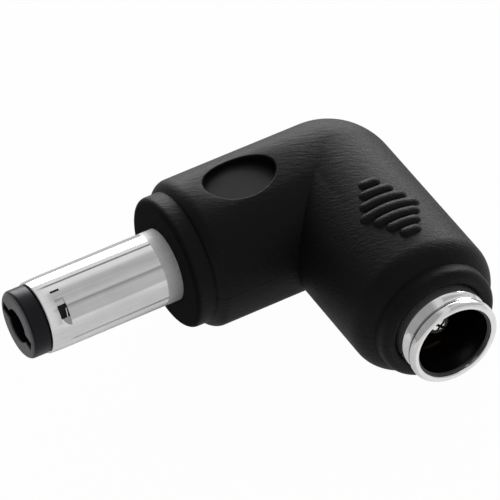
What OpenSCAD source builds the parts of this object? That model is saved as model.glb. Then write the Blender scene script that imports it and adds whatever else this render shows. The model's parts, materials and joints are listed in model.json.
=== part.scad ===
// Right-angle DC barrel adapter: a tuning-fork plug on one leg and a barrel
// jack on the other, joined inside a moulded elbow.
// The plug points along -X and the jack along -Y, with +Z up. The origin is
// the centre of the plug's seat, the face that stops against a socket.

/* [Elbow] */
// Diameter of both legs
leg_d = 11.3; // [11:0.1:12]
// From the plug's seat to the crossing of the two axes
seat_to_bend = 13.5; // [13:0.1:16]
// From the crossing of the axes to the plug end of the leg
plug_leg_len = 12.1; // [11.9:0.1:12.4]
// Rounding of the plug end of the leg
plug_shoulder = 1.0; // [0.6:0.1:1.4]
// From the crossing of the axes to the jack end of the leg
jack_leg_len = 14.9; // [14.4:0.1:15]
// Rounding of the jack end of the leg
jack_shoulder = 2.0; // [1.2:0.1:2.2]
// Diameter of the collar round the plug
plug_collar_d = 10.0; // [9:0.1:10.2]
// Diameter of the collar round the jack
jack_collar_d = 9.2; // [8.4:0.1:9.6]
// From the crossing of the axes to the crest of the jack's collar
jack_collar_face = 15.9; // [15.4:0.1:16.2]

/* [Oval recess] */
// Length of the recess along the leg
recess_l = 5.6; // [4:0.1:7]
// Width of the recess across the leg
recess_w = 4.0; // [3:0.1:5]
// Depth of the recess below the top of the leg
recess_depth = 0.8; // [0.4:0.1:1]
// From the crossing of the axes to the middle of the recess
recess_at = 7.1; // [7:0.1:8]

/* [Grip] */
// Number of ribs in the diamond
rib_n = 7; // [3:2:9]
// Spacing of the ribs
rib_pitch = 0.96; // [0.9:0.02:1.1]
// Length of the middle rib
rib_longest = 4.9; // [3:0.1:6]
// Length of the first and last ribs
rib_shortest = 1.8; // [1:0.1:2.4]
// Height of a rib above the leg
rib_h = 0.28; // [0.15:0.01:0.35]
// From the crossing of the axes to the middle rib
grip_at = 8.6; // [8:0.1:9]
// From the middle of the leg to the middle of the ribs, away from the plug
grip_aside = 0.3; // [0:0.1:0.5]

/* [Plug] */
// Outer diameter of the barrel
barrel_d = 5.5; // [5.5:0.1:5.7]
// Wall of the barrel
barrel_wall = 0.2; // [0.15:0.05:0.25]
// From the seat to the front edge of the barrel
barrel_len = 10.5; // [9.5:0.1:11.5]
// From the seat to the front of the tip
plug_len = 12.0; // [11:0.1:13]
// Diameter of the tip
tip_d = 5.16; // [4.9:0.02:5.2]
// Diameter of the hole in the tip
socket_d = 2.6; // [2.2:0.1:2.8]
// Width of the slot across the tip
slot_w = 0.9; // [0.6:0.05:0.95]
// Length of the slot across the tip
slot_l = 4.3; // [4:0.1:4.4]
// Rise of the slot towards +Y, degrees
slot_turn = 10; // [-45:1:45]
// Width of the latch notch along the barrel
notch_w = 0.7; // [0.4:0.1:0.9]
// Depth of the latch notch
notch_depth = 0.23; // [0.21:0.01:0.28]
// From the front edge of the barrel to the middle of the notch
notch_back = 1.3; // [1.2:0.05:2]
// Turn of the notch from the top towards -Y, degrees
notch_turn = 51; // [40:1:90]
// Turn of the slit beside the notch from the top towards -Y, degrees
slit_turn = 16; // [10:1:20]

/* [Jack] */
// From the crossing of the axes to the front of the shell
jack_len = 18.0; // [17.6:0.1:19]
// Outer diameter of the shell
shell_d = 6.9; // [6.7:0.1:7.1]
// Diameter of the rolled lip
lip_d = 7.0; // [6.8:0.1:7.2]
// Diameter of the opening in the lip
lip_hole_d = 5.9; // [5.8:0.05:6]
// Diameter of the mouth that the mating plug enters
mouth_d = 5.58; // [5.56:0.02:5.66]
// Diameter of the centre pin
pin_d = 2.1; // [1.9:0.1:2.5]
// How far the pin's tip stands behind the lip
pin_back = 2.1; // [1.8:0.1:3]

/* [Link wires] */
// Diameter of a conductor
wire_d = 0.8; // [0.6:0.1:0.9]
// Diameter over the insulation
wire_insulation_d = 1.4; // [1.2:0.1:1.5]
// Bend radius of the wires at their middle
wire_bend_r = 3.0; // [2:0.1:3.5]

/* [Hidden] */
$fn = 64;
// How far a cut runs past the material, and how far two cuts share
over = 1;
eps = 0.01;

leg_r = leg_d / 2;
plug_collar_edge = 0.5;
jack_bead_r = 0.6;
// Radii of a rib and of its ends in plan, as shares of the spacing
rib_r = 0.48 * rib_pitch;
rib_end_r = 0.46 * rib_pitch;
// How far below the top of the leg a rib's straight sides reach
rib_skirt = 1.2;
// Inner moulding: its radius and its two ends, from the crossing of the axes
plug_root = 2.5;
core_r = 4.0;
core_plug_end = seat_to_bend - plug_root;
core_jack_end = 7.5;

// Places along the plug, from the crossing of the axes
barrel_r = barrel_d / 2;
barrel_in_r = barrel_r - barrel_wall;
barrel_front = seat_to_bend + barrel_len;
barrel_stub = 0.6;
barrel_back = core_plug_end - barrel_stub;
barrel_taper_l = 1.5;
barrel_taper = 0.05;
notch_at = barrel_front - notch_back - notch_w / 2;
slit_w = 0.12;
flange_r = 3.5;
flange_t = 0.6;
groove_r = 2.62;
groove_cone = 0.6;
tip_front = seat_to_bend + plug_len;
tip_edge = 0.35;
socket_r = socket_d / 2;
socket_entry_l = 1.1;
socket_relief = 0.2;
socket_bore_r = socket_r + socket_relief;
socket_past_seat = 0.1;
socket_floor = seat_to_bend - socket_past_seat;
sleeve_tag_t = 0.4;
bush_flange_r = 2.6;
bush_flange_t = 0.6;
fork_post_r = 0.8;
fork_post_back = 9.4;
fork_lap = 0.4;
fork_head_l = 1.2;
tine_t = 0.4;
tine_gap = 2.9;
tine_side_gap = 0.05;
tine_w = slot_w - 2 * tine_side_gap;
tine_back = 1.4;
tine_front = tip_front - tine_back;
tine_bump = 0.25;
tine_bump_r = 0.9;
plug_tag_back = 7.6;

// Places along the jack, from the crossing of the axes
shell_r = shell_d / 2;
shell_t = 0.3;
shell_in_r = shell_r - shell_t;
jack_disc_t = 0.8;
shell_back = core_jack_end + jack_disc_t;
lip_r = lip_d / 2;
lip_t = 0.3;
lip_edge = 0.3;
// The shell's neck: its depth, and its four edges measured back from the lip
neck_depth = 0.17;
neck_start = 1.45;
neck_floor_start = 1.15;
neck_floor_end = 1.0;
neck_end = 0.6;
liner_front = jack_len - lip_t;
liner_floor_t = 0.8;
liner_floor = shell_back + liner_floor_t;
mouth_l = 1.6;
mouth_relief = 0.16;
well_r = mouth_d / 2 + mouth_relief;
pin_r = pin_d / 2;
pin_tip = jack_len - pin_back;
pin_edge = 0.5;
pin_foot_r = 1.6;
pin_foot_t = 0.4;
pin_slit_w = 0.22;
pin_slit_l = 2.2;
shank_r = 0.6;
pin_tag_t = 0.4;
jack_tag_back = 4.6;
leaf_t = 0.2;
leaf_w = 1.4;
leaf_z = -2.8;
leaf_front = 14.6;
leaf_bow = 0.14;
leaf_bow_l = 3.2;
leaf_bow_ahead = 3.2;
leaf_bow_at = liner_floor + leaf_bow_ahead;
leaf_slot_h = 0.6;

// Link wires: the tags' top faces carry the conductors
wire_r = wire_d / 2;
tag_w = 1.6;
tag_t = 0.4;
positive_tag_z = 0.8;
negative_tag_z = leaf_z;
solder_r = 0.75;
solder_cap_t = 0.3;
plug_wire_end = 9.1;
jack_wire_end = 6.6;
plug_sleeve_solder_back = 7.8;
jack_solder_back = 4.9;
plug_jacket_end = 7.3;
jack_jacket_end = 4.4;

black_pvc = [0.11, 0.11, 0.12];
black_nylon = [0.16, 0.16, 0.18];
nickel = [0.80, 0.79, 0.77];
bronze = [0.72, 0.53, 0.33];
natural_pe = [0.86, 0.86, 0.82];
tin = [0.70, 0.71, 0.73];
copper = [0.80, 0.47, 0.29];
red_pvc = [0.72, 0.10, 0.09];

// ---- frames of the two legs --------------------------------------------

// Children are drawn along +Z from the crossing of the axes, with +X up
module along_plug() {
    translate([seat_to_bend, 0, 0]) rotate([0, -90, 0]) children();
}

// Children are drawn along +Z from the crossing of the axes, with +Y up
module along_jack() {
    translate([seat_to_bend, 0, 0]) rotate([90, 0, 0]) children();
}

// ---- shared shapes -----------------------------------------------------

// Half section of a bar between two places, its far edge rounded by edge_r
module bar_section(from, to, r, edge_r) {
    translate([0, from]) square([r, to - from - edge_r]);
    translate([0, from]) square([r - edge_r, to - from]);
    translate([r - edge_r, to - edge_r]) circle(edge_r);
}

// The same, ending in a bead that slopes back inwards as well
module beaded_section(from, to, r, bead_r) {
    translate([0, from]) square([r, to - from - bead_r]);
    translate([r - bead_r, to - bead_r]) circle(bead_r);
}

// Plain bar and plain tube between two places along a leg
module bar(from, to, r) {
    translate([0, 0, from]) cylinder(h = to - from, r = r);
}

module tube(from, to, r, hole_r) {
    translate([0, 0, from]) linear_extrude(to - from) difference() {
        circle(r);
        circle(hole_r);
    }
}

// Quarter of a ball that fills the outer corner between two equal legs
module corner_ball(r) {
    translate([seat_to_bend, 0, 0]) rotate_extrude(angle = 90) intersection() {
        circle(r);
        translate([0, -r]) square([r, 2 * r]);
    }
}

// ---- moulded elbow -----------------------------------------------------

module elbow_outside() {
    along_plug() rotate_extrude() union() {
        bar_section(0, plug_leg_len, leg_r, plug_shoulder);
        bar_section(0, seat_to_bend, plug_collar_d / 2, plug_collar_edge);
    }
    along_jack() rotate_extrude() union() {
        bar_section(0, jack_leg_len, leg_r, jack_shoulder);
        beaded_section(0, jack_collar_face, jack_collar_d / 2, jack_bead_r);
    }
    corner_ball(leg_r);
}

module core_outside() {
    along_plug() bar(0, core_plug_end, core_r);
    along_jack() bar(0, core_jack_end, core_r);
    corner_ball(core_r);
}

// Oval pocket in the top of the plug leg
module oval_recess() {
    points = 72;
    step = 360 / points;
    translate([seat_to_bend - recess_at, 0, leg_r - recess_depth])
        linear_extrude(2 * recess_depth)
            polygon([for (i = [0 : points - 1])
                [recess_l / 2 * cos(i * step), recess_w / 2 * sin(i * step)]]);
}

// One rib wrapped over the top of the jack leg, its ends round in plan
module grip_rib(at, length) {
    intersection() {
        along_jack() translate([0, 0, at]) rotate_extrude()
            translate([leg_r + rib_h - rib_r, 0]) circle(rib_r);
        translate([seat_to_bend + grip_aside, -at, leg_r - rib_skirt])
            linear_extrude(rib_skirt + over) union() {
                for (side = [-1, 1])
                    translate([side * (length / 2 - rib_end_r), 0]) circle(rib_end_r);
                square([length - 2 * rib_end_r, 2 * rib_end_r], center = true);
            }
    }
}

module grip() {
    half = (rib_n - 1) / 2;
    for (i = [-half : half])
        grip_rib(grip_at + i * rib_pitch,
                 rib_longest - (rib_longest - rib_shortest) * abs(i) / half);
}

// What the plug, the jack and the inner moulding take out of the elbow
module connector_seats() {
    core_outside();
    along_plug() rotate_extrude() barrel_outline();
    along_jack() bar(core_jack_end, jack_len + over, shell_r);
}

module overmould_body() {
    color(black_pvc) difference() {
        union() {
            elbow_outside();
            grip();
        }
        connector_seats();
        oval_recess();
    }
}

module inner_mould() {
    color(natural_pe) difference() {
        core_outside();
        along_plug() bar(barrel_back, core_plug_end + over, barrel_r);
        plug_rear_insulator();
        plug_sleeve_terminal();
        plug_fork_contact();
        jack_pin_terminal();
        along_jack() bar(core_jack_end - pin_tag_t, core_jack_end + over, shank_r);
        jack_leaf_spring();
        positive_insulation();
        positive_conductor();
        negative_insulation();
        negative_conductor();
        plug_centre_solder();
        plug_sleeve_solder();
        jack_centre_solder();
        jack_sleeve_solder();
    }
}

// ---- plug --------------------------------------------------------------

// Half section of the barrel as if solid: stub, flange, lock groove that the
// elbow fills, plain length, and a slight taper at the front
module barrel_outline() {
    flange_front = core_plug_end + flange_t;
    polygon([
        [0, barrel_back],
        [barrel_r, barrel_back],
        [barrel_r, core_plug_end],
        [flange_r, core_plug_end],
        [flange_r, flange_front],
        [groove_r, flange_front],
        [groove_r, seat_to_bend - groove_cone],
        [barrel_r, seat_to_bend],
        [barrel_r, barrel_front - barrel_taper_l],
        [barrel_r - barrel_taper, barrel_front],
        [0, barrel_front],
    ]);
}

module plug_barrel() {
    color(nickel) along_plug() difference() {
        rotate_extrude() barrel_outline();
        bar(barrel_back - over, barrel_front + over, barrel_in_r);
        rotate([0, 0, -notch_turn]) translate([barrel_r - notch_depth, -barrel_r, notch_at])
            cube([over, barrel_d, notch_w]);
        rotate([0, 0, -slit_turn]) translate([barrel_in_r - over, -slit_w / 2, notch_at])
            cube([2 * over, slit_w, notch_w]);
    }
}

module plug_tip_insulator() {
    color(black_nylon) along_plug() difference() {
        rotate_extrude() union() {
            translate([0, core_plug_end]) square([barrel_in_r, barrel_front - core_plug_end]);
            bar_section(barrel_front, tip_front, tip_d / 2, tip_edge);
        }
        bar(core_plug_end - over, socket_floor + over, fork_post_r);
        bar(socket_floor, tip_front - socket_entry_l, socket_bore_r);
        bar(tip_front - socket_entry_l - eps, tip_front + over, socket_r);
        rotate([0, 0, 90 - slot_turn])
            translate([-slot_l / 2, -slot_w / 2, socket_floor])
                cube([slot_l, slot_w, plug_len]);
    }
}

// Side view of one tine: a strip with a rounded bump that grips the pin
module tine_section() {
    translate([tine_gap / 2, socket_floor]) square([tine_t, tine_front - socket_floor]);
    intersection() {
        translate([tine_gap / 2 - tine_bump + tine_bump_r, tine_front - tine_bump_r])
            circle(tine_bump_r);
        translate([0, socket_floor]) square([tine_gap / 2 + tine_t, tine_front]);
    }
}

module plug_fork_contact() {
    tine_out = tine_gap / 2 + tine_t;
    color(bronze) along_plug() {
        bar(fork_post_back, socket_floor, fork_post_r);
        bar(socket_floor, socket_floor + fork_head_l, socket_bore_r);
        rotate([0, 0, 90 - slot_turn]) {
            translate([-tine_out, -tine_w / 2, socket_floor])
                cube([2 * tine_out, tine_w, fork_head_l]);
            for (side = [0, 180])
                rotate([0, 0, side]) translate([0, tine_w / 2, 0]) rotate([90, 0, 0])
                    linear_extrude(tine_w) tine_section();
        }
        translate([positive_tag_z - tag_t, -tag_w / 2, plug_tag_back])
            cube([tag_t, tag_w, fork_post_back + fork_lap - plug_tag_back]);
    }
}

module plug_rear_insulator() {
    color(natural_pe) along_plug() {
        tube(barrel_back - bush_flange_t, barrel_back, bush_flange_r, fork_post_r);
        tube(barrel_back, core_plug_end, barrel_in_r, fork_post_r);
    }
}

module plug_sleeve_terminal() {
    color(nickel) along_plug() difference() {
        union() {
            tube(core_plug_end - sleeve_tag_t, core_plug_end, flange_r, barrel_r);
            translate([negative_tag_z - tag_t, -tag_w / 2, plug_tag_back])
                cube([tag_t, tag_w, core_plug_end - plug_tag_back]);
        }
        bar(barrel_back, core_plug_end + over, barrel_r);
    }
}

// ---- jack --------------------------------------------------------------

// Half section of the shell as if solid: plain length, neck and rolled lip
module shell_outline() {
    neck_r = shell_r - neck_depth;
    polygon([
        [0, shell_back],
        [shell_r, shell_back],
        [shell_r, jack_len - neck_start],
        [neck_r, jack_len - neck_floor_start],
        [neck_r, jack_len - neck_floor_end],
        [lip_r, jack_len - neck_end],
        [lip_r, jack_len - lip_edge],
        [lip_r - lip_edge, jack_len],
        [0, jack_len],
    ]);
    translate([lip_r - lip_edge, jack_len - lip_edge]) circle(lip_edge);
}

module jack_shell() {
    color(nickel) along_jack() difference() {
        rotate_extrude() shell_outline();
        bar(shell_back - over, liner_front, shell_in_r);
        bar(liner_front - eps, jack_len + over, lip_hole_d / 2);
    }
}

module jack_liner() {
    color(black_nylon) along_jack() difference() {
        bar(shell_back, liner_front, shell_in_r);
        bar(shell_back - over, liner_floor + over, shank_r);
        bar(liner_floor, liner_front - mouth_l, well_r);
        bar(liner_front - mouth_l - eps, liner_front + over, mouth_d / 2);
        translate([-leaf_w / 2, leaf_z - leaf_t, shell_back - over])
            cube([leaf_w, leaf_slot_h, leaf_front - shell_back + over]);
    }
}

// Turned pin with a rounded, cross-slit tip, a foot and a rivet shank
module jack_centre_pin() {
    color(nickel) along_jack() difference() {
        rotate_extrude() union() {
            translate([0, core_jack_end - pin_tag_t])
                square([shank_r, liner_floor - core_jack_end + pin_tag_t]);
            translate([0, liner_floor]) square([pin_foot_r, pin_foot_t]);
            bar_section(liner_floor, pin_tip, pin_r, pin_edge);
        }
        for (turn = [0, 90])
            rotate([0, 0, turn + 45])
                translate([-pin_d, -pin_slit_w / 2, pin_tip - pin_slit_l])
                    cube([2 * pin_d, pin_slit_w, pin_slit_l + over]);
    }
}

// Strip along the bottom of the jack, bowed inwards to press on the barrel
module jack_leaf_spring() {
    bow_r = (leaf_bow_l * leaf_bow_l / 4 + leaf_bow * leaf_bow) / (2 * leaf_bow);
    color(bronze) along_jack() translate([leaf_w / 2, 0, 0]) rotate([0, -90, 0])
        linear_extrude(leaf_w) union() {
            translate([jack_tag_back, leaf_z - leaf_t])
                square([leaf_front - jack_tag_back, leaf_t]);
            intersection() {
                translate([leaf_bow_at, leaf_z + leaf_bow - bow_r]) circle(bow_r, $fn = 200);
                translate([leaf_bow_at - leaf_bow_l / 2, leaf_z - leaf_t / 2])
                    square([leaf_bow_l, over]);
            }
        }
}

module jack_rear_insulator() {
    color(natural_pe) along_jack() difference() {
        bar(core_jack_end, shell_back, shell_r);
        bar(core_jack_end - over, shell_back + over, shank_r);
        translate([-leaf_w / 2, leaf_z - leaf_t, core_jack_end - over])
            cube([leaf_w, leaf_t, jack_disc_t + 2 * over]);
    }
}

module jack_pin_terminal() {
    color(nickel) along_jack() {
        difference() {
            union() {
                bar(core_jack_end - pin_tag_t, core_jack_end, pin_foot_r);
                translate([-tag_w / 2, positive_tag_z - tag_t, jack_tag_back])
                    cube([tag_w, tag_t, core_jack_end - jack_tag_back]);
            }
            bar(core_jack_end - pin_tag_t - eps, core_jack_end + over, shank_r);
        }
    }
}

// ---- link wires --------------------------------------------------------

// Section swept along a link wire's route at height z: straight, a quarter
// turn, straight
module wire_route(z, plug_end, jack_end) {
    along_plug() translate([z, 0, wire_bend_r])
        linear_extrude(plug_end - wire_bend_r) children();
    translate([seat_to_bend - wire_bend_r, -wire_bend_r, z])
        rotate_extrude(angle = 90) translate([wire_bend_r, 0]) children();
    along_jack() translate([0, z, wire_bend_r])
        linear_extrude(jack_end - wire_bend_r) children();
}

module conductor(tag_z) {
    color(copper) wire_route(tag_z + wire_r, plug_wire_end, jack_wire_end) circle(wire_r);
}

module insulation(tag_z, tint) {
    color(tint) wire_route(tag_z + wire_r, plug_jacket_end, jack_jacket_end) difference() {
        circle(wire_insulation_d / 2);
        circle(wire_r);
    }
}

// Section of solder standing on the top face of a tag
module solder_section() {
    intersection() {
        circle(solder_r);
        translate([-solder_r, -wire_r]) square(2 * solder_r);
    }
}

// Solder saddled over a conductor's end and capped past it
module solder(from, wire_end) {
    color(tin) {
        translate([0, 0, from]) linear_extrude(wire_end - from) difference() {
            solder_section();
            circle(wire_r);
            translate([-wire_r / 2, -wire_r]) square(wire_r);
        }
        translate([0, 0, wire_end]) linear_extrude(solder_cap_t) solder_section();
    }
}

module plug_solder(tag_z) {
    along_plug() translate([tag_z + wire_r, 0, 0]) rotate([0, 0, -90])
        solder(plug_sleeve_solder_back, plug_wire_end);
}

module jack_solder(tag_z) {
    along_jack() translate([0, tag_z + wire_r, 0]) solder(jack_solder_back, jack_wire_end);
}

module positive_conductor() { conductor(positive_tag_z); }
module negative_conductor() { conductor(negative_tag_z); }
module positive_insulation() { insulation(positive_tag_z, red_pvc); }
module negative_insulation() { insulation(negative_tag_z, black_pvc); }
module plug_centre_solder() { plug_solder(positive_tag_z); }
module plug_sleeve_solder() { plug_solder(negative_tag_z); }
module jack_centre_solder() { jack_solder(positive_tag_z); }
module jack_sleeve_solder() { jack_solder(negative_tag_z); }

overmould_body();
inner_mould();
plug_barrel();
plug_tip_insulator();
plug_fork_contact();
plug_rear_insulator();
plug_sleeve_terminal();
jack_shell();
jack_liner();
jack_centre_pin();
jack_leaf_spring();
jack_rear_insulator();
jack_pin_terminal();
positive_conductor();
positive_insulation();
negative_conductor();
negative_insulation();
plug_centre_solder();
plug_sleeve_solder();
jack_centre_solder();
jack_sleeve_solder();
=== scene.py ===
import json
import math

import bmesh
import bpy
from bpy.props import FloatProperty, FloatVectorProperty, IntProperty, PointerProperty
from mathutils import Matrix, Vector


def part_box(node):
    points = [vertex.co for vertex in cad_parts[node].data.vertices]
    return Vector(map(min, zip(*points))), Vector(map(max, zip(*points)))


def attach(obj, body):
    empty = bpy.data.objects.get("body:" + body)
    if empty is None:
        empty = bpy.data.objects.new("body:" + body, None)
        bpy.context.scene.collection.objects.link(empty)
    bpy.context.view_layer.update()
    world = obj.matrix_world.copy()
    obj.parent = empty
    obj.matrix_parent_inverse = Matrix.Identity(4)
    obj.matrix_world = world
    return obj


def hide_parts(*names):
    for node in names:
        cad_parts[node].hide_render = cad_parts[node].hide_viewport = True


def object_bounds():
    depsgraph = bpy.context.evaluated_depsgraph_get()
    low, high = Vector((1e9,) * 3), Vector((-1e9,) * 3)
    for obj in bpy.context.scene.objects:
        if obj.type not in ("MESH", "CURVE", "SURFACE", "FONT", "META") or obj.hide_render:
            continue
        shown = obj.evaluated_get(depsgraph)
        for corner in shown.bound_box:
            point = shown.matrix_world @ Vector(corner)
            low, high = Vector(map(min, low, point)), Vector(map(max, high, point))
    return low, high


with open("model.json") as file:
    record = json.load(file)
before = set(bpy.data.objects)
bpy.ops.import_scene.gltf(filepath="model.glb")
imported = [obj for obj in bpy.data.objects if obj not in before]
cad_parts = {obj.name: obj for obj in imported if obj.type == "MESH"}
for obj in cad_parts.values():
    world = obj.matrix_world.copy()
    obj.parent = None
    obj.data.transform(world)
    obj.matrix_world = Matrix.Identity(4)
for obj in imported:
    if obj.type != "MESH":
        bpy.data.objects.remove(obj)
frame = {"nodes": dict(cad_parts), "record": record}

bl_info = {
    "name": "Right-angle barrel adapter",
    "version": (1, 0, 0),
    "blender": (4, 5, 0),
    "location": "3D View > Sidebar > Barrel adapter",
    "description": "Dresses a right-angle barrel plug and jack adapter",
    "category": "Object",
}

MM = 0.001
CAD_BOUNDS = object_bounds()

ELBOW_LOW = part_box("overmould_body")[0]
BARREL_LOW, BARREL_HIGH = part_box("plug_barrel")
TIP_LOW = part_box("plug_tip_insulator")[0]
SHELL_LOW, SHELL_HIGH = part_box("jack_shell")
PIN_LOW, PIN_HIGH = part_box("jack_centre_pin")

# The axes of the plug and the jack cross here, at right angles
BEND = Vector(((SHELL_LOW.x + SHELL_HIGH.x) / 2, 0, 0))
SEAT = BEND.x - ELBOW_LOW.x

# A leg is drawn with x as its radius, z as the distance from the bend, and y round it
PLUG_LEG = Matrix.Translation(BEND) @ Matrix.Rotation(math.radians(-90), 4, "Y")
JACK_LEG = Matrix.Translation(BEND) @ Matrix.Rotation(math.radians(90), 4, "X")

ROUND_STEPS = 192
MERGE = 1e-7

# The hole is narrower than the latch notch, and the tip's pocket wider than the metal bent in,
# by these widths, so that no two cuts share a plane
HOLE_INSET = 0.06 * MM
POCKET_CLEARANCE = 0.03 * MM
# How far the notch's floor dips at the upper end of its hole
NOTCH_SAG = 0.04 * MM

# The jack's liner has a floor of this thickness, and the pin's shank goes through it
LINER_FLOOR = 0.8 * MM
PIN_SHANK = 0.6 * MM

PLATE_METALLIC = 0.92
# The barrel is frosted from this X to its root, in millimetres
FROST_AT = -1.16
# The front of the tip is painted pale, to this depth in millimetres: partly its wear, partly a
# painted sheen on the face
WORN_AND_SHEEN_DEPTH = 0.1
# Painted sheen and wear: the pale colour of the tip's front face
WORN_AND_SHEEN = (0.17, 0.165, 0.175)

# Grey of the room that lights the object and shows in its metal, by degrees from straight up:
# the back is negative and the front positive. Two thin dark bands cross it.
ROOM = (
    (-180, 0.60), (-90, 0.72), (-52, 0.80), (-42, 0.80), (-40, 0.15), (-35.5, 0.15), (-34, 0.84),
    (-20, 0.80), (-6, 0.48), (10, 0.46), (26, 0.52), (36, 0.60), (41, 0.50), (44, 0.22), (46, 0.32),
    (56, 0.52), (90, 0.50), (180, 0.45),
)
# By how far a direction points along X: the greys above end at the first, over this much, and
# past a pale strip the room's dark side begins at the second
ROOM_END, ROOM_END_BLUR = 0.26, 0.06
ROOM_SIDE, ROOM_SIDE_BLUR = -0.1, 0.15
ROOM_SIDE_GREY, ROOM_STRIP_RISE = 0.36, 0.39

# In metres
FLOOR_RADIUS = 1.5
# The floor is white to the camera. Metal sees it grey, brighter in front, with a pale patch by the
# jack and a thin dark line beside the barrel:
# painted reflections that glow for glossy rays only. The places on it are in millimetres.
FLOOR_WHITE = 0.98
FLOOR_GREY, FLOOR_FRONT_RISE, FLOOR_FRONT = 0.08, 0.42, (-3, 0)
PATCH_RISE, PATCH_SIDE, PATCH_END = 0.35, (9, 12), (-24, -30)
LINE_DROP, LINE_SIDE, LINE_AT, LINE_EDGE = 0.4, (-7.5, -7), 4.6, (0.3, 0.6)

LAMP_DISTANCE = 0.55
# Azimuth, elevation and roll in degrees
CAMERA_ANGLES = (-27.09, 43.37, -3.37)
CAMERA_LENS = 398.2
CAMERA_AWAY, CAMERA_ASIDE, CAMERA_BELOW = 401 * MM, 5.65 * MM, 3.89 * MM


# ---- properties ----------------------------------------------------------


def length(name, description, millimetres):
    return FloatProperty(
        name=name,
        description=description,
        default=millimetres * MM,
        min=0,
        unit="LENGTH",
        precision=5,
    )


def angle(name, description, degrees):
    return FloatProperty(
        name=name, description=description, default=math.radians(degrees), subtype="ANGLE"
    )


def colour(name, description, rgb):
    return FloatVectorProperty(
        name=name, description=description, default=rgb, min=0, max=1, size=3, subtype="COLOR"
    )


class ElbowSettings(bpy.types.PropertyGroup):
    leg_radius: length("Leg radius", "Radius of both legs", -ELBOW_LOW.z / MM)
    core_radius: length("Core radius", "Radius of the space for the inner moulding", 4.0)
    plug_leg: length("Plug leg", "From the bend to the end of the plug's leg", 12.1)
    plug_shoulder: length("Plug shoulder", "Rounding of the end of the plug's leg", 1.0)
    plug_collar: length("Plug collar", "Radius of the collar round the plug", 5.0)
    plug_collar_edge: length("Plug collar edge", "Rounding of the plug's collar", 0.5)
    plug_core: length("Plug core", "From the bend to the plug end of the inner moulding", 11.0)
    jack_leg: length("Jack leg", "From the bend to the end of the jack's leg", 14.9)
    jack_shoulder: length("Jack shoulder", "Rounding of the end of the jack's leg", 2.0)
    jack_collar: length("Jack collar", "Radius of the collar round the jack", 4.6)
    jack_bead: length("Jack bead", "Radius of the bead at the end of the jack's collar", 0.6)
    jack_core: length("Jack core", "From the bend to the jack end of the inner moulding", 7.5)
    recess_length: length("Recess length", "Length of the oval recess", 5.6)
    recess_width: length("Recess width", "Width of the oval recess", 4.0)
    recess_depth: length("Recess depth", "Depth of the oval recess below the top", 0.8)
    recess_at: length("Recess place", "From the bend to the middle of the recess", 7.1)
    recess_edge: length("Recess edge", "Rounding of the rim of the recess", 0.14)
    rib_count: IntProperty(name="Ribs", description="Number of grip ribs", default=7, min=3)
    rib_pitch: length("Rib spacing", "Distance between grip ribs", 0.96)
    rib_longest: length("Longest rib", "Length of the middle rib", 4.9)
    rib_shortest: length("Shortest rib", "Length of the first and last ribs", 1.8)
    rib_height: length("Rib height", "Height of a rib above the leg", 0.28)
    grip_at: length("Grip place", "From the bend to the middle rib", 8.6)
    grip_aside: length("Grip aside", "From the middle of the leg to the middle of the grip", 0.3)


class PlugSettings(bpy.types.PropertyGroup):
    barrel_radius: length("Barrel radius", "Outer radius of the barrel", 2.75)
    barrel_wall: length("Barrel wall", "Thickness of the barrel", 0.2)
    taper: length("Taper", "Length of the curved taper at the front of the barrel", 1.5)
    taper_drop: length("Taper drop", "How much the taper takes off the radius", 0.05)
    notch_width: length("Notch width", "Width of the latch notch along the barrel", 0.7)
    notch_depth: length("Notch depth", "Depth of the ends of the latch notch", 0.217)
    notch_hole: length("Notch hole", "Length of the hole in the middle of the notch", 1.01)
    notch_dip: length("Notch dip", "How deep the lower lip of the notch is pressed in", 0.45)
    notch_lip: length("Notch lip", "Thickness of the metal pressed in", 0.12)
    notch_back: length("Notch place", "From the front of the barrel to the notch", 1.3)
    notch_turn: angle("Notch turn", "From the top towards the inside of the elbow", 51)
    slit_width: length("Slit", "Width of the slit beside the notch", 0.17)
    slit_turn: angle("Slit turn", "From the top towards the inside of the elbow", 16)
    tip_radius: length("Tip radius", "Radius of the plastic tip", 2.58)
    tip_edge: length("Tip edge", "Rounding of the plastic tip", 0.35)
    socket_radius: length("Socket radius", "Radius of the hole in the tip", 1.3)
    slot_width: length("Slot width", "Width of the slot across the tip", 0.9)
    slot_length: length("Slot length", "Length of the slot across the tip", 4.3)
    slot_turn: angle("Slot turn", "Rise of the slot towards the back", 10)


class JackSettings(bpy.types.PropertyGroup):
    shell_radius: length("Shell radius", "Radius of the metal shell", 3.45)
    shell_wall: length("Shell wall", "Thickness of the metal shell", 0.3)
    lip_radius: length("Lip radius", "Outer radius of the rolled lip", 3.5)
    lip_hole: length("Lip opening", "Radius of the opening in the lip", 2.95)
    neck_depth: length("Neck depth", "Depth of the neck behind the lip", 0.17)
    mouth: length("Mouth", "Radius of the mouth behind the lip", 2.79)
    well: length("Well", "Radius of the liner round the pin", 2.95)
    pin_radius: length("Pin radius", "Radius of the centre pin", 1.05)
    pin_dome: length("Pin dome", "Rounding of the tip of the pin", 0.8)
    slit: length("Slit", "Width of the cross cut in the pin", 0.22)


class FinishSettings(bpy.types.PropertyGroup):
    pvc: colour("Soft PVC", "Colour of the moulded elbow", (0.003, 0.003, 0.0032))
    nickel: colour("Nickel", "Colour of the plated barrel and shell", (0.84, 0.83, 0.835))
    tip: colour("Tip", "Colour of the plug's plastic tip", (0.006, 0.006, 0.009))
    liner: colour("Liner", "Colour of the jack's plastic liner", (0.003, 0.003, 0.0035))


# ---- modelling -------------------------------------------------------------


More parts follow.
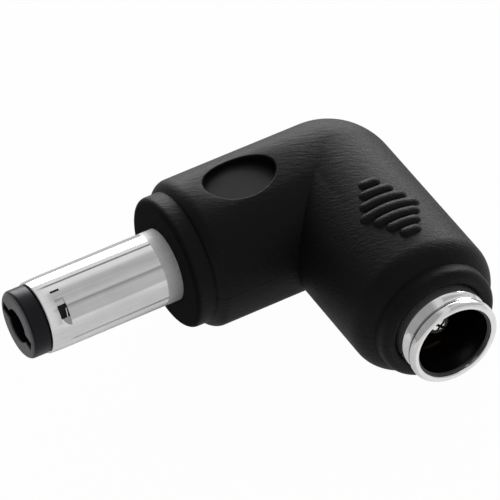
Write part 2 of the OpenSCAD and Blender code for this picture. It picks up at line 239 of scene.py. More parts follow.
class Template:
    """Half section of a turned piece, drawn as (radius, distance) like a lathe template."""

    def __init__(self, radius, distance):
        self.bm = bmesh.new()
        self.last = self.bm.verts.new((radius, 0, distance))
        self.first = self.last
        self.roundings = []

    def line(self, radius, distance, rounding=0):
        point = self.bm.verts.new((radius, 0, distance))
        self.bm.edges.new((self.last, point))
        self.last = point
        if rounding:
            self.roundings.append((point, rounding))
        return self

    def arc(self, radius, distance, degrees, steps=12):
        """Turns on round (radius, distance), positive from outwards towards the front."""
        swept = bmesh.ops.spin(
            self.bm,
            geom=[self.last],
            cent=(radius, 0, distance),
            axis=(0, -1, 0),
            angle=math.radians(degrees),
            steps=steps,
        )
        self.last = swept["geom_last"][0]
        return self

    def close(self):
        self.bm.edges.new((self.last, self.first))
        return self

    def turned(self, leg, steps=ROUND_STEPS):
        """The template spun once round its leg."""
        for point, rounding in self.roundings:
            bmesh.ops.bevel(
                self.bm,
                geom=[point],
                offset=rounding,
                affect="VERTICES",
                segments=6,
                profile=0.5,
                material=-1,
            )
        bmesh.ops.spin(
            self.bm,
            geom=self.bm.verts[:] + self.bm.edges[:],
            cent=(0, 0, 0),
            axis=(0, 0, 1),
            angle=math.tau,
            steps=steps,
            use_merge=True,
        )
        bmesh.ops.remove_doubles(self.bm, verts=self.bm.verts, dist=MERGE)
        bmesh.ops.transform(self.bm, matrix=leg, verts=self.bm.verts)
        return outwards(self.bm)


def outwards(bm):
    bmesh.ops.recalc_face_normals(bm, faces=bm.faces)
    return bm


def add(bm, other):
    """Puts a second mesh's faces in with the first."""
    mesh = bpy.data.meshes.new("part")
    other.to_mesh(mesh)
    other.free()
    bm.from_mesh(mesh)
    bpy.data.meshes.remove(mesh)
    return bm


def block(size, matrix):
    bm = bmesh.new()
    bmesh.ops.create_cube(bm, size=1, matrix=matrix @ Matrix.Diagonal((*size, 1)))
    return bm


def scratch_object(bm):
    mesh = bpy.data.meshes.new("scratch")
    bm.to_mesh(mesh)
    bm.free()
    made = bpy.data.objects.new("scratch", mesh)
    bpy.context.scene.collection.objects.link(made)
    return made


def carve(bm, tool, operation="DIFFERENCE"):
    """The body without the tool's shape, joined to it, or only where the two meet."""
    body, cutter = scratch_object(bm), scratch_object(tool)
    modifier = body.modifiers.new("carve", "BOOLEAN")
    modifier.operation = operation
    modifier.solver = "EXACT"
    modifier.object = cutter
    carved = body.evaluated_get(bpy.context.evaluated_depsgraph_get())
    result = bmesh.new()
    result.from_mesh(carved.to_mesh())
    carved.to_mesh_clear()
    for used in (body, cutter):
        mesh = used.data
        bpy.data.objects.remove(used)
        bpy.data.meshes.remove(mesh)
    if not result.faces:
        raise RuntimeError(f"a {operation.lower()} left nothing of the piece")
    return result


def piece(name, bm, material, node, sharp=32):
    """Makes the finished mesh an object that stands for its CAD node."""
    mesh = bpy.data.meshes.new(name)
    bm.to_mesh(mesh)
    bm.free()
    for face in mesh.polygons:
        face.use_smooth = True
    mesh.set_sharp_from_angle(angle=math.radians(sharp))
    mesh.materials.append(material)
    made = bpy.data.objects.new(name, mesh)
    bpy.context.scene.collection.objects.link(made)
    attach(made, "root")
    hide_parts(node)
    return made


# ---- materials -------------------------------------------------------------


class Signal:
    """A shader socket that can be used in a sum."""

    def __init__(self, recipe, socket):
        self.recipe = recipe
        self.socket = socket

    def _math(self, operation, *values):
        return self.recipe.node("ShaderNodeMath", {"operation": operation}, dict(enumerate(values)))

    def __add__(self, other):
        return self._math("ADD", self, other)

    __radd__ = __add__

    def __sub__(self, other):
        return self._math("SUBTRACT", self, other)

    def __rsub__(self, other):
        return self._math("SUBTRACT", other, self)

    def __mul__(self, other):
        return self._math("MULTIPLY", self, other)

    __rmul__ = __mul__

    def __truediv__(self, other):
        return self._math("DIVIDE", self, other)

    def __abs__(self):
        return self._math("ABSOLUTE", self)

    def stepped(self, start, end):
        """0 below start and 1 above end, smooth between them."""
        return self.recipe.node(
            "ShaderNodeMapRange",
            {"interpolation_type": "SMOOTHSTEP", "clamp": True},
            {"Value": self, "From Min": start, "From Max": end},
        )


class Recipe:
    """The node tree of one finish."""

    def __init__(self, owner):
        self.owner = owner
        self.owner.use_nodes = True
        self.tree = self.owner.node_tree
        self.tree.nodes.clear()

    @classmethod
    def for_world(cls, name):
        return cls(bpy.data.worlds.new(name))

    @classmethod
    def for_finish(cls, name):
        """A finish whose patterns are measured in millimetres on the object."""
        recipe = cls(bpy.data.materials.new(name))
        metres = recipe.node("ShaderNodeTexCoord", output="Object")
        recipe.place = recipe.node(
            "ShaderNodeVectorMath", {"operation": "SCALE"}, {0: metres, "Scale": 1 / MM}
        )
        return recipe

    def node(self, kind, settings=None, sockets=None, output=0):
        """A node with its settings set first, then the values or links of its sockets."""
        made = self.tree.nodes.new(kind)
        settings = dict(settings or {})
        for number, (position, tone) in enumerate(settings.pop("stops", ())):
            elements = made.color_ramp.elements
            stop = elements[number] if number < 2 else elements.new(position)
            stop.position = position
            stop.color = tone
        for key, value in settings.items():
            setattr(made, key, value)
        for key, value in (sockets or {}).items():
            if isinstance(value, Signal):
                self.tree.links.new(value.socket, made.inputs[key])
            else:
                made.inputs[key].default_value = value
        return Signal(self, made.outputs[output]) if made.outputs else made

    def axis(self, name):
        return self.node("ShaderNodeSeparateXYZ", None, {0: self.place}, output=name)

    def noise(self, grain, detail, stretch=(1, 1, 1), turn=0):
        """Noise between 0 and 1, its grains this many millimetres across, turned about Z."""
        turned = self.node(
            "ShaderNodeMapping",
            {"vector_type": "POINT"},
            {"Vector": self.place, "Rotation": (0, 0, math.radians(turn))},
        )
        place = self.node(
            "ShaderNodeMapping",
            {"vector_type": "POINT"},
            {"Vector": turned, "Scale": tuple(1 / (grain * s) for s in stretch)},
        )
        return self.node(
            "ShaderNodeTexNoise",
            None,
            {"Vector": place, "Scale": 1.0, "Detail": detail, "Roughness": 0.55},
        )

    def blend(self, amount, first, second):
        first, second = (rgb if isinstance(rgb, Signal) else (*rgb, 1) for rgb in (first, second))
        sockets = {0: amount, 6: first, 7: second}
        return self.node("ShaderNodeMix", {"data_type": "RGBA"}, sockets, output=2)

    def bump(self, height, millimetres, strength):
        sockets = {"Height": height, "Distance": millimetres * MM, "Strength": strength}
        return self.node("ShaderNodeBump", None, sockets)

    def surface(self, **sockets):
        shader = self.node(
            "ShaderNodeBsdfPrincipled",
            None,
            {key.replace("_", " "): value for key, value in sockets.items()},
        )
        self.node("ShaderNodeOutputMaterial", None, {"Surface": shader})
        return self.owner


def scaled(rgb, factor):
    return tuple(min(1.0, part * factor) for part in rgb)


def soft_pvc(rgb, elbow):
    """Black soft PVC: matt, finely grained, with faint flow marks and a parting line."""
    make = Recipe.for_finish("soft_pvc")
    grain = make.noise(0.16, detail=5.0)
    flow = make.noise(0.22, stretch=(5, 1, 1), detail=4.0, turn=27)
    line = 1 - abs(make.axis("Z")).stepped(0.02, 0.07)
    shade = grain * 0.4 + flow * 0.6
    along = (make.axis("X") - (BEND.x - elbow.recess_at) / MM) / (elbow.recess_length / 2 / MM)
    across = make.axis("Y") / (elbow.recess_width / 2 / MM)
    outside = (along * along + across * across).stepped(0.9, 1.1)
    polished = (1 - outside) * make.axis("Z").stepped(0, 1)
    end = 1 - make.axis("X").stepped(0.05, 0.4)
    relief = (grain * 0.4 + flow) * (1 - polished) + line * 0.7
    return make.surface(
        Base_Color=make.blend(shade.stepped(0.3, 0.7), scaled(rgb, 0.7), scaled(rgb, 1.4)),
        Roughness=0.44 + 0.16 * shade + 0.5 * end - 0.14 * polished,
        Specular_IOR_Level=0.15,
        Normal=make.bump(relief, 0.04, 1.0),
    )


def plated(name, rgb, roughness, along, streak=0.35, frosted=None):
    """Bright nickel plate with marks along one direction, frosted above a place on X."""
    make = Recipe.for_finish(name)
    marks = make.noise(streak, stretch=along, detail=4.0)
    cloud = make.noise(1.6, detail=2.0)
    tone = marks * 0.6 + cloud * 0.4
    metallic = PLATE_METALLIC
    gloss = roughness * (0.75 + 0.5 * tone)
    if frosted is not None:
        frost = make.axis("X").stepped(frosted - 0.06, frosted + 0.06)
        metallic = PLATE_METALLIC - frost * (0.5 + 0.12 * cloud)
        gloss = gloss + 0.4 * frost
    return make.surface(
        Base_Color=make.blend(tone.stepped(0.3, 0.7), scaled(rgb, 0.93), scaled(rgb, 1.03)),
        Metallic=metallic,
        Roughness=gloss,
        Normal=make.bump(marks, 0.003, 0.15),
    )


def moulded(name, rgb, roughness, specular=0.4, grain=0.12, worn_and_sheen=None):
    """Hard moulded plastic with a fine grain and uneven gloss, painted pale below a place on X:
    partly wear, partly a painted sheen.
    """
    make = Recipe.for_finish(name)
    fine = make.noise(grain, detail=4.0)
    broad = make.noise(1.1, detail=2.0)
    colour = make.blend(broad.stepped(0.3, 0.7), scaled(rgb, 0.85), scaled(rgb, 1.15))
    if worn_and_sheen is not None:
        # Painted sheen and wear: the face below this place is painted paler, partly for wear and
        # partly as a painted sheen
        face = 1 - make.axis("X").stepped(worn_and_sheen - 0.05, worn_and_sheen + 0.05)
        colour = make.blend(face * (0.3 + fine), colour, WORN_AND_SHEEN)
    return make.surface(
        Base_Color=colour,
        Roughness=roughness + 0.15 * (fine * 0.5 + broad * 0.5 - 0.5),
        Specular_IOR_Level=specular,
        Normal=make.bump(fine, 0.01, 0.6),
    )


def drawn_metal(name, rgb, roughness, stretch=(1, 1, 1)):
    """Bare drawn or rolled metal, a little dull and unevenly toned."""
    make = Recipe.for_finish(name)
    marks = make.noise(0.25, stretch=stretch, detail=5.0)
    stain = make.noise(1.4, detail=3.0)
    return make.surface(
        Base_Color=make.blend(stain.stepped(0.35, 0.75), rgb, scaled(rgb, 0.72)),
        Metallic=1.0,
        Roughness=roughness + 0.2 * (marks * 0.5 + stain * 0.5 - 0.5),
        Normal=make.bump(marks, 0.008, 0.5),
    )


# ---- shapes ----------------------------------------------------------------


def leg_skin(leg, template, keep):
    """One leg's skin, cut on the mitre plane so that the two legs meet in it."""
    bm = template.turned(leg)
    bmesh.ops.bisect_plane(
        bm,
        geom=bm.verts[:] + bm.edges[:] + bm.faces[:],
        dist=MERGE,
        plane_co=BEND,
        plane_no=keep,
        clear_inner=True,
    )
    return bm


def corner_skin(radius):
    """Quarter of a ball, swept from the plug leg's end round to the jack leg's."""
    bm = bmesh.new()
    point = bm.verts.new(BEND + Vector((0, 0, radius)))
    bmesh.ops.spin(
        bm, geom=[point], cent=BEND, axis=(-1, 0, 0), angle=math.pi, steps=ROUND_STEPS // 2
    )
    bmesh.ops.spin(
        bm,
        geom=bm.verts[:] + bm.edges[:],
        cent=BEND,
        axis=(0, 0, -1),
        angle=math.pi / 2,
        steps=ROUND_STEPS // 4,
    )
    return bm


def across_barrel(plug, turn, radius):
    """A place this far out from the barrel's axis, level with the latch notch."""
    forward = BEND.x - BARREL_LOW.x - plug.notch_back
    return PLUG_LEG @ Matrix.Rotation(-turn, 4, "Z") @ Matrix.Translation((radius, 0, forward))


def pressed_metal(plug, hole_bottom):
    """Radii under the metal bent in at the latch notch, from its upper end to its lower."""
    rim = plug.barrel_radius - plug.notch_depth
    low = rim - plug.notch_dip - plug.notch_lip
    return (rim, rim, hole_bottom, low, rim - 2 * plug.notch_lip, rim)


def notch_tool(plug, radii, wide=0):
    """A bar across the latch notch, its bottom at these radii from the upper end to the lower."""
    reach = 1.25 * MM
    hole = plug.notch_hole / 2
    span = math.sqrt(plug.barrel_radius**2 - (plug.barrel_radius - plug.notch_depth) ** 2)
    bottom = zip((-reach, -span, -hole, hole, span, reach), radii)
    top = 1.3 * plug.barrel_radius
    place = across_barrel(plug, plug.notch_turn, 0)
    bm = bmesh.new()
    outline = [(radius, -side) for side, radius in bottom] + [(top, -reach), (top, reach)]
    half = plug.notch_width / 2 + wide
    corners = [bm.verts.new(place @ Vector((radius, side, -half))) for radius, side in outline]
    face = bm.faces.new(corners)
    raised = bmesh.ops.extrude_face_region(bm, geom=[face])["geom"]
    moved = [vert for vert in raised if isinstance(vert, bmesh.types.BMVert)]
    along = place.to_3x3() @ Vector((0, 0, 2 * half))
    bmesh.ops.translate(bm, vec=along, verts=moved)
    return outwards(bm)


def recess_cutter(elbow):
    """Oval pocket cutter with a flared rim, draped over the round of the leg."""
    across, along, edge = elbow.recess_width / 2, elbow.recess_length / 2, elbow.recess_edge
    turns = [math.radians(degrees) for degrees in range(0, 80, 10)]
    rim = [(edge * (1 - math.cos(turn)), edge * (math.sin(turn) - 1)) for turn in turns]
    rim.append((rim[-1][0] + 3 * edge, rim[-1][1] + edge))
    bm = bmesh.new()
    ring = bmesh.ops.create_circle(bm, radius=1, segments=160)["verts"]
    bmesh.ops.scale(bm, vec=(along, across, 1), verts=ring)
    bmesh.ops.translate(bm, vec=(0, 0, elbow.leg_radius - elbow.recess_depth), verts=ring)
    walls = {vert: Vector(vert.co) for vert in ring}
    for spread, height in rim + [(rim[-1][0], None)]:
        loop = [side for side in bm.edges if all(vert in walls for vert in side.verts)]
        raised = bmesh.ops.extrude_edge_only(bm, edges=loop)["geom"]
        fresh = [vert for vert in raised if isinstance(vert, bmesh.types.BMVert)]
        above = {}
        for vert in fresh:
            below = min(walls, key=lambda old: (old.co - vert.co).length)
            wall = walls[below]
            out = Vector((wall.x / along**2, wall.y / across**2, 0)).normalized()
            flat = wall + out * spread
            if height is None:
                top = elbow.leg_radius + MM
            else:
                top = math.sqrt(elbow.leg_radius**2 - flat.y**2) + height
            above[vert] = wall
            vert.co = (flat.x, flat.y, top)
        walls = above
    bmesh.ops.holes_fill(bm, edges=bm.edges, sides=0)
    bmesh.ops.translate(bm, vec=(BEND.x - elbow.recess_at, 0, 0), verts=bm.verts)
    return outwards(bm)


def grip_ribs(elbow):
    """Round-ended ribs bent over the top of the jack's leg."""
    bm = bmesh.new()
    radius = 0.5 * elbow.rib_pitch
    middle = (elbow.rib_count - 1) / 2
    for number in range(elbow.rib_count):
        step = number - middle
        span = elbow.rib_longest - (elbow.rib_longest - elbow.rib_shortest) * abs(step) / middle
        rib = bmesh.new()
        lying = Matrix.Rotation(math.radians(90), 4, "Y")
        bmesh.ops.create_uvsphere(rib, u_segments=32, v_segments=24, radius=radius, matrix=lying)
        belt = [edge for edge in rib.edges if all(abs(vert.co.x) < MERGE for vert in edge.verts)]
        bmesh.ops.split_edges(rib, edges=belt)
        for vert in rib.verts:
            side = sum(face.calc_center_median().x for face in vert.link_faces)
            vert.co.x += math.copysign(span / 2 - radius, side)
        rims = [edge for edge in rib.edges if edge.is_boundary]
        bridge = bmesh.ops.bridge_loops(rib, edges=rims)
        bmesh.ops.subdivide_edges(rib, edges=bridge["edges"], cuts=24, use_grid_fill=True)
        for vert in rib.verts:
            vert.co.x += elbow.grip_aside
            vert.co.z += elbow.rib_height - radius + math.sqrt(elbow.leg_radius**2 - vert.co.x**2)
        place = Vector((BEND.x, -(elbow.grip_at + step * elbow.rib_pitch), 0))
        bmesh.ops.translate(rib, vec=place, verts=rib.verts)
        add(bm, outwards(rib))
    return bm


# ---- operators -------------------------------------------------------------


class BARREL_ADAPTER_OT_mould_elbow(bpy.types.Operator):
    """Moulds the black elbow with its collars, oval recess and grip ribs"""

    bl_idname = "barrel_adapter.mould_elbow"
    bl_label = "Mould the elbow"

    def execute(self, context):
        elbow = context.scene.barrel_elbow
        plug = context.scene.barrel_plug
        jack = context.scene.barrel_jack
        bm = bmesh.new()
        shoulder = elbow.leg_radius - elbow.plug_shoulder
        turn = math.degrees(math.acos((elbow.plug_collar - shoulder) / elbow.plug_shoulder))
        edge = elbow.plug_collar_edge
        outline = Template(elbow.leg_radius, 0)
        outline.line(elbow.leg_radius, elbow.plug_leg - elbow.plug_shoulder)
        outline.arc(shoulder, elbow.plug_leg - elbow.plug_shoulder, turn, 16)
        outline.line(elbow.plug_collar, SEAT - edge)
        outline.arc(elbow.plug_collar - edge, SEAT - edge, 90)
        outline.line(plug.barrel_radius, SEAT)
        outline.line(plug.barrel_radius, elbow.plug_core)
        outline.line(elbow.core_radius, elbow.plug_core)
        outline.line(elbow.core_radius, 0)
        add(bm, leg_skin(PLUG_LEG, outline, (-1, 1, 0)))

        face = BEND.y - ELBOW_LOW.y
        shoulder = elbow.leg_radius - elbow.jack_shoulder
        turn = math.degrees(math.acos((elbow.jack_collar - shoulder) / elbow.jack_shoulder))
        bead = elbow.jack_bead
        crest = elbow.jack_collar - bead
        sweep = math.degrees(math.acos((jack.shell_radius - crest) / bead))
        outline = Template(elbow.leg_radius, 0)
        outline.line(elbow.leg_radius, elbow.jack_leg - elbow.jack_shoulder)
        outline.arc(shoulder, elbow.jack_leg - elbow.jack_shoulder, turn, 20)
        outline.line(elbow.jack_collar, face - bead)
        outline.arc(crest, face - bead, sweep, 24)
        outline.line(jack.shell_radius, elbow.jack_core)
        outline.line(elbow.core_radius, elbow.jack_core)
        outline.line(elbow.core_radius, 0)
        add(bm, leg_skin(JACK_LEG, outline, (1, -1, 0)))

        add(bm, corner_skin(elbow.leg_radius))
        add(bm, corner_skin(elbow.core_radius))
        bmesh.ops.remove_doubles(bm, verts=bm.verts, dist=10 * MERGE)
        gaps = sum(1 for e in bm.edges if not e.is_manifold)
        if gaps:
            raise RuntimeError(f"the elbow's skin is open along {gaps} edges")
        outwards(bm)
        bm = carve(bm, recess_cutter(elbow))
        bm = carve(bm, grip_ribs(elbow), "UNION")
        material = soft_pvc(context.scene.barrel_finish.pvc, elbow)
        piece("Elbow", bm, material, "overmould_body", sharp=28)
        return {"FINISHED"}


class BARREL_ADAPTER_OT_turn_barrel(bpy.types.Operator):
    """Turns the plug's nickel barrel and cuts its latch notch"""

    bl_idname = "barrel_adapter.turn_barrel"
    bl_label = "Turn the barrel"

    def execute(self, context):
        plug = context.scene.barrel_plug
        elbow = context.scene.barrel_elbow
        front = BEND.x - BARREL_LOW.x
        back = BEND.x - BARREL_HIGH.x
        inside = plug.barrel_radius - plug.barrel_wall
        flange, flange_end = 3.5 * MM, elbow.plug_core + 0.6 * MM
        groove, groove_end = 2.62 * MM, SEAT - 0.6 * MM
        edge = 0.08 * MM
        bow = plug.taper**2 / (2 * plug.taper_drop)
        bend = math.degrees(math.asin((plug.taper - edge) / bow))
        outline = Template(inside, back)
        outline.line(plug.barrel_radius, back)
        outline.line(plug.barrel_radius, elbow.plug_core)
        outline.line(flange, elbow.plug_core)
        outline.line(flange, flange_end)
        outline.line(groove, flange_end)
        outline.line(groove, groove_end)
        outline.line(plug.barrel_radius, SEAT)
        outline.line(plug.barrel_radius, front - plug.taper)
        outline.arc(plug.barrel_radius - bow, front - plug.taper, bend, 24)
        outline.arc(outline.last.co.x - edge, outline.last.co.z, 90, 8)
        outline.line(inside, front).close()
        bm = outline.turned(PLUG_LEG)
        middle_of_wall = inside + plug.barrel_wall / 2
        core = Template(0, 0)
        core.line(middle_of_wall, 0)
        core.line(middle_of_wall, front).line(0, front)
        pressed = notch_tool(plug, pressed_metal(plug, inside), plug.notch_lip)
        bm = carve(bm, carve(pressed, core.turned(PLUG_LEG), "INTERSECT"), "UNION")
        rim = plug.barrel_radius - plug.notch_depth
        low = rim - plug.notch_dip
        cut = (rim, rim, rim - NOTCH_SAG, low, rim, rim + plug.notch_lip)
        bm = carve(bm, notch_tool(plug, cut))
        hole = across_barrel(plug, plug.notch_turn, plug.barrel_radius)
        hole_depth = 3 * MM
        bm = carve(bm, block((hole_depth, plug.notch_hole, plug.notch_width - HOLE_INSET), hole))
        slit = across_barrel(plug, plug.slit_turn, plug.barrel_radius)
        slit_depth = MM
        bm = carve(bm, block((slit_depth, plug.slit_width, plug.notch_width), slit))
        nickel = context.scene.barrel_finish.nickel
        material = plated("nickel_barrel", nickel, 0.07, (9, 1, 1), frosted=FROST_AT)
        piece("Plug-barrel", bm, material, "plug_barrel")
        return {"FINISHED"}


class BARREL_ADAPTER_OT_mould_tip(bpy.types.Operator):
    """Moulds the plug's black tip with its round hole and slot"""

    bl_idname = "barrel_adapter.mould_tip"
    bl_label = "Mould the tip"

    def execute(self, context):
        plug = context.scene.barrel_plug
        elbow = context.scene.barrel_elbow
        front = BEND.x - TIP_LOW.x
        rim = BEND.x - BARREL_LOW.x
        inside = plug.barrel_radius - plug.barrel_wall
        post, bore, entry = 0.8 * MM, 1.5 * MM, 1.1 * MM
        floor = SEAT - 0.1 * MM
        neck, neck_start, neck_end = inside - 0.12 * MM, rim - 0.1 * MM, rim + 0.06 * MM
        head = rim + 0.12 * MM
        outline = Template(post, elbow.plug_core)
        outline.line(inside, elbow.plug_core)
        outline.line(inside, neck_start)
        outline.line(neck, rim)
        outline.line(neck, neck_end)
        outline.line(plug.tip_radius, head, 0.04 * MM)
        outline.line(plug.tip_radius, front - plug.tip_edge)
        outline.arc(plug.tip_radius - plug.tip_edge, front - plug.tip_edge, 90)
        outline.line(plug.socket_radius, front, 0.06 * MM)
        outline.line(plug.socket_radius, front - entry)
        outline.line(bore, front - entry)
        outline.line(bore, floor)
        outline.line(post, floor).close()
        bm = outline.turned(PLUG_LEG)
        depth = 9 * MM
        slot = (
            PLUG_LEG
            @ Matrix.Rotation(math.radians(90) - plug.slot_turn, 4, "Z")
            @ Matrix.Translation((0, 0, front - depth / 2 + MM / 2))
        )
        bm = carve(bm, block((plug.slot_length, plug.slot_width, depth + MM), slot))
        pocket = pressed_metal(plug, inside - 0.1 * MM)
        bm = carve(bm, notch_tool(plug, pocket, plug.notch_lip + POCKET_CLEARANCE))
        nylon = context.scene.barrel_finish.tip
        # The tip's front face is painted pale: partly wear, partly a painted sheen
        material = moulded("tip_nylon", nylon, 0.34, 0.2, worn_and_sheen=WORN_AND_SHEEN_DEPTH + TIP_LOW.x / MM)
        piece("Plug-tip", bm, material, "plug_tip_insulator")
        return {"FINISHED"}


class BARREL_ADAPTER_OT_turn_shell(bpy.types.Operator):
    """Turns the jack's nickel shell with its neck and rolled lip"""

    bl_idname = "barrel_adapter.turn_shell"
    bl_label = "Turn the shell"

    def execute(self, context):
        jack = context.scene.barrel_jack
        front = -SHELL_LOW.y
        back = -SHELL_HIGH.y
        inside = jack.shell_radius - jack.shell_wall
        neck = jack.shell_radius - jack.neck_depth
        outer_edge, inner_edge = 0.3 * MM, 0.12 * MM
        outline = Template(inside, back)
        outline.line(jack.shell_radius, back)
        for radius, behind, rounding in (
            (jack.shell_radius, 1.45, 0.2),
            (neck, 1.1, 0.14),
            (neck, 0.95, 0.1),
            (jack.lip_radius, 0.6, 0.14),
        ):
            outline.line(radius, front - behind * MM, rounding * MM)
        outline.line(jack.lip_radius, front - outer_edge)
        outline.arc(jack.lip_radius - outer_edge, front - outer_edge, 90)
        outline.line(jack.lip_hole + inner_edge, front)
        outline.arc(jack.lip_hole + inner_edge, front - inner_edge, 90)
        outline.line(jack.lip_hole, front - jack.shell_wall)
        outline.line(inside, front - jack.shell_wall).close()
        bm = outline.turned(JACK_LEG)
        material = plated("nickel_shell", context.scene.barrel_finish.nickel, 0.09, (1, 5, 1), 0.5)
        piece("Jack-shell", bm, material, "jack_shell")
        return {"FINISHED"}


class BARREL_ADAPTER_OT_mould_liner(bpy.types.Operator):
    """Moulds the black liner that holds the jack's centre pin"""

    bl_idname = "barrel_adapter.mould_liner"
    bl_label = "Mould the liner"

    def execute(self, context):
        jack = context.scene.barrel_jack
        front = -SHELL_LOW.y - jack.shell_wall
        back = -SHELL_HIGH.y
        outside = jack.shell_radius - jack.shell_wall
        mouth_length = 1.6 * MM
        outline = Template(PIN_SHANK, back)
        outline.line(outside, back)
        outline.line(outside, front)
        outline.line(jack.mouth, front, 0.06 * MM)
        outline.line(jack.mouth, front - mouth_length)
        outline.line(jack.well, front - mouth_length)
        outline.line(jack.well, back + LINER_FLOOR)
        outline.line(PIN_SHANK, back + LINER_FLOOR).close()
        bm = outline.turned(JACK_LEG)
        material = moulded("liner_nylon", context.scene.barrel_finish.liner, 0.30, 0.5)
        piece("Jack-liner", bm, material, "jack_liner")
        return {"FINISHED"}


class BARREL_ADAPTER_OT_turn_pin(bpy.types.Operator):
    """Turns the jack's centre pin and cuts the cross in its dome"""

    bl_idname = "barrel_adapter.turn_pin"
    bl_label = "Turn the pin"

    def execute(self, context):
        jack = context.scene.barrel_jack
        tip = -PIN_LOW.y
        back = -PIN_HIGH.y
        floor = -SHELL_HIGH.y + LINER_FLOOR
        foot, foot_thickness, depth = 1.6 * MM, 0.4 * MM, 2.2 * MM
        outline = Template(0, back)
        outline.line(PIN_SHANK, back)
        outline.line(PIN_SHANK, floor)
        outline.line(foot, floor)
        outline.line(foot, floor + foot_thickness)
        outline.line(jack.pin_radius, floor + foot_thickness)
        outline.line(jack.pin_radius, tip - jack.pin_dome)
        outline.arc(jack.pin_radius - jack.pin_dome, tip - jack.pin_dome, 90, 20)
        outline.line(0, tip)
        bm = outline.turned(JACK_LEG, 96)
        for degrees in (45, 135):
            slit = (
                JACK_LEG
                @ Matrix.Rotation(math.radians(degrees), 4, "Z")
                @ Matrix.Translation((0, 0, tip - depth / 2 + MM / 2))
            )
            bm = carve(bm, block((4 * jack.pin_radius, jack.slit, depth + MM), slit))
        material = plated("pin_plate", (0.88, 0.86, 0.83), 0.1, (1, 4, 1))
        piece("Jack-pin", bm, material, "jack_centre_pin")
        return {"FINISHED"}


class BARREL_ADAPTER_OT_finish_inside(bpy.types.Operator):
    """Gives the contacts, wires, solder and inner moulding their finishes"""

    bl_idname = "barrel_adapter.finish_inside"
    bl_label = "Finish the inside"

    def execute(self, context):
        finishes = {
            "black_pvc": moulded("hidden_pvc", (0.011, 0.011, 0.011), 0.55),
            "natural_pe": moulded("natural_pe", (0.62, 0.61, 0.55), 0.5, 0.35, 0.3),
            "nickel_plate": plated("hidden_nickel", (0.8, 0.79, 0.77), 0.2, (1, 1, 1)),
            "black_nylon": moulded("hidden_nylon", (0.017, 0.017, 0.02), 0.4),
            "liner_nylon": moulded("hidden_liner", (0.004, 0.004, 0.004), 0.4),
            "bronze_contact": drawn_metal("phosphor_bronze", (0.36, 0.21, 0.11), 0.28, (6, 1, 1)),
            "terminal_plate": plated("terminal_plate", (0.76, 0.75, 0.72), 0.25, (4, 1, 1)),
            "pin_plate": plated("hidden_pin", (0.84, 0.83, 0.8), 0.12, (1, 4, 1)),
            "copper_wire": drawn_metal("bare_copper", (0.80, 0.36, 0.20), 0.25),
            "red_insulation": moulded("red_insulation", (0.42, 0.015, 0.012), 0.42),
            "black_insulation": moulded("black_insulation", (0.012, 0.012, 0.012), 0.42),
            "solder": drawn_metal("tin_solder", (0.62, 0.63, 0.66), 0.3),
        }
        for subpart in frame["record"]["subparts"]:
            node = frame["nodes"][subpart["node"]]
            node.data.materials.clear()
            node.data.materials.append(finishes[subpart["material_slot"]])
        return {"FINISHED"}


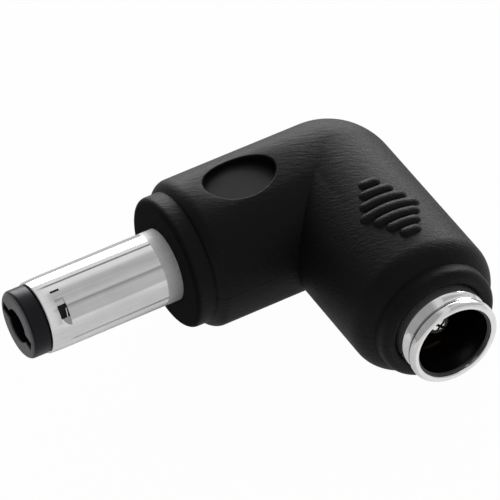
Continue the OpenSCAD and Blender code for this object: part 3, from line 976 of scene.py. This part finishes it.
class BARREL_ADAPTER_OT_set_stage(bpy.types.Operator):
    """Sets the pale floor, the surroundings, the soft lamp and the camera"""

    bl_idname = "barrel_adapter.set_stage"
    bl_label = "Set the stage"

    def execute(self, context):
        self.floor()
        self.surroundings(context.scene)
        self.lamp("Back-softbox", (0.45, 0.86, 0.25), (0.75, 0.33), 4.2)
        self.camera(context.scene)
        return {"FINISHED"}

    def floor(self):
        """A round floor: white to the camera, and to metal grey with a painted reflection patch and
        line.
        """
        bm = bmesh.new()
        bmesh.ops.create_circle(bm, cap_ends=True, radius=FLOOR_RADIUS, segments=96)
        bmesh.ops.translate(bm, vec=(BEND.x, 0, CAD_BOUNDS[0].z), verts=bm.verts)
        mesh = bpy.data.meshes.new("Floor")
        bm.to_mesh(mesh)
        bm.free()
        recipe = Recipe.for_finish("pale_floor")
        board = recipe.node("ShaderNodeBsdfDiffuse", None, {"Color": (0.6, 0.6, 0.6, 1)})
        paper = recipe.node("ShaderNodeEmission", None, {"Color": (1, 1, 1, 1), "Strength": 1.0})
        seen = recipe.node("ShaderNodeLightPath", output="Is Camera Ray")
        mirrored = recipe.node("ShaderNodeLightPath", output="Is Glossy Ray")
        through = recipe.node("ShaderNodeLightPath", output="Is Transmission Ray")
        x, y = recipe.axis("X"), recipe.axis("Y")
        # Painted reflections: for glossy rays only the floor glows brighter in front, with a pale
        # patch and a dark line that show in the metal
        front = 1 - y.stepped(*FLOOR_FRONT)
        patch = x.stepped(*PATCH_SIDE) * (front - y.stepped(*PATCH_END))
        line = x.stepped(*LINE_SIDE) * (1 - abs(y + LINE_AT).stepped(*LINE_EDGE))
        tone = FLOOR_GREY + front * (FLOOR_FRONT_RISE - LINE_DROP * line) + PATCH_RISE * patch
        glow = (seen + through) * FLOOR_WHITE + mirrored * tone
        surface = recipe.node("ShaderNodeMixShader", None, {0: glow, 1: board, 2: paper})
        recipe.node("ShaderNodeOutputMaterial", None, {"Surface": surface})
        mesh.materials.append(recipe.owner)
        made = bpy.data.objects.new("Floor", mesh)
        bpy.context.scene.collection.objects.link(made)

    def surroundings(self, scene):
        """A room that is white to the camera, and greys by direction to light and metal."""
        room = Recipe.for_world("Soft white room")
        scene.world = room.owner
        seen = room.node("ShaderNodeLightPath", output="Is Camera Ray")
        through = room.node("ShaderNodeLightPath", output="Is Transmission Ray")
        towards = room.node("ShaderNodeTexCoord", output="Generated")
        right, back, up = (
            room.node("ShaderNodeSeparateXYZ", None, {0: towards}, output=axis) for axis in "XYZ"
        )
        turn = room.node("ShaderNodeMath", {"operation": "ARCTAN2"}, {0: 0 - back, 1: up})
        stops = [(0.5 + degrees / 360, (tone, tone, tone, 1)) for degrees, tone in ROOM]
        ceiling = room.node("ShaderNodeValToRGB", {"stops": stops}, {0: turn / math.tau + 0.5})
        beyond = 1 - right.stepped(ROOM_END - ROOM_END_BLUR, ROOM_END)
        strip = right.stepped(ROOM_SIDE - ROOM_SIDE_BLUR, ROOM_SIDE + ROOM_SIDE_BLUR)
        side = ROOM_SIDE_GREY + ROOM_STRIP_RISE * strip
        white = seen + through
        lit = ceiling * (1 - beyond) + side * beyond
        strength = white + (1 - white) * lit
        sockets = {"Color": (1, 1, 1, 1), "Strength": strength}
        glow = room.node("ShaderNodeBackground", None, sockets)
        room.node("ShaderNodeOutputWorld", None, {"Surface": glow})

    def lamp(self, name, towards, size, power):
        data = bpy.data.lights.new(name, "AREA")
        data.shape = "RECTANGLE"
        data.size, data.size_y = size
        data.energy = power
        lamp = bpy.data.objects.new(name, data)
        lamp.location = BEND + LAMP_DISTANCE * Vector(towards).normalized()
        aim = BEND - lamp.location
        lamp.rotation_euler = aim.to_track_quat("-Z", "Y").to_euler()
        bpy.context.scene.collection.objects.link(lamp)

    def camera(self, scene):
        azimuth, elevation, roll = (math.radians(x) for x in CAMERA_ANGLES)
        away = Vector((
            math.sin(azimuth) * math.cos(elevation),
            -math.cos(azimuth) * math.cos(elevation),
            math.sin(elevation),
        ))
        right = Vector((0, 0, 1)).cross(away).normalized()
        up = away.cross(right)
        turned_right = math.cos(roll) * right + math.sin(roll) * up
        turned_up = -math.sin(roll) * right + math.cos(roll) * up
        data = bpy.data.cameras.new("Camera")
        data.sensor_width = 36
        data.lens = CAMERA_LENS
        data.clip_start = 0.01
        data.clip_end = 10
        camera = bpy.data.objects.new("Camera", data)
        turn = Matrix((turned_right, turned_up, away)).transposed().to_4x4()
        place = BEND + CAMERA_AWAY * away - CAMERA_ASIDE * turned_right - CAMERA_BELOW * turned_up
        camera.matrix_world = Matrix.Translation(place) @ turn
        scene.collection.objects.link(camera)
        scene.camera = camera


class BARREL_ADAPTER_PT_build(bpy.types.Panel):
    bl_label = "Barrel adapter"
    bl_idname = "BARREL_ADAPTER_PT_build"
    bl_space_type = "VIEW_3D"
    bl_region_type = "UI"
    bl_category = "Barrel adapter"

    def draw(self, context):
        for operator in OPERATORS:
            self.layout.operator(operator.bl_idname)


SETTINGS = {
    "barrel_elbow": ElbowSettings,
    "barrel_plug": PlugSettings,
    "barrel_jack": JackSettings,
    "barrel_finish": FinishSettings,
}
OPERATORS = (
    BARREL_ADAPTER_OT_finish_inside,
    BARREL_ADAPTER_OT_mould_elbow,
    BARREL_ADAPTER_OT_turn_barrel,
    BARREL_ADAPTER_OT_mould_tip,
    BARREL_ADAPTER_OT_turn_shell,
    BARREL_ADAPTER_OT_mould_liner,
    BARREL_ADAPTER_OT_turn_pin,
    BARREL_ADAPTER_OT_set_stage,
)


def register():
    for name, group in SETTINGS.items():
        bpy.utils.register_class(group)
        setattr(bpy.types.Scene, name, PointerProperty(type=group))
    for operator in OPERATORS:
        bpy.utils.register_class(operator)
    bpy.utils.register_class(BARREL_ADAPTER_PT_build)


def unregister():
    bpy.utils.unregister_class(BARREL_ADAPTER_PT_build)
    for operator in reversed(OPERATORS):
        bpy.utils.unregister_class(operator)
    for name, group in SETTINGS.items():
        delattr(bpy.types.Scene, name)
        bpy.utils.unregister_class(group)


def main():
    register()
    bpy.context.scene.view_settings.view_transform = "Standard"
    for operator in OPERATORS:
        getattr(bpy.ops.barrel_adapter, operator.bl_idname.split(".")[1])()


if __name__ == "__main__":
    main()
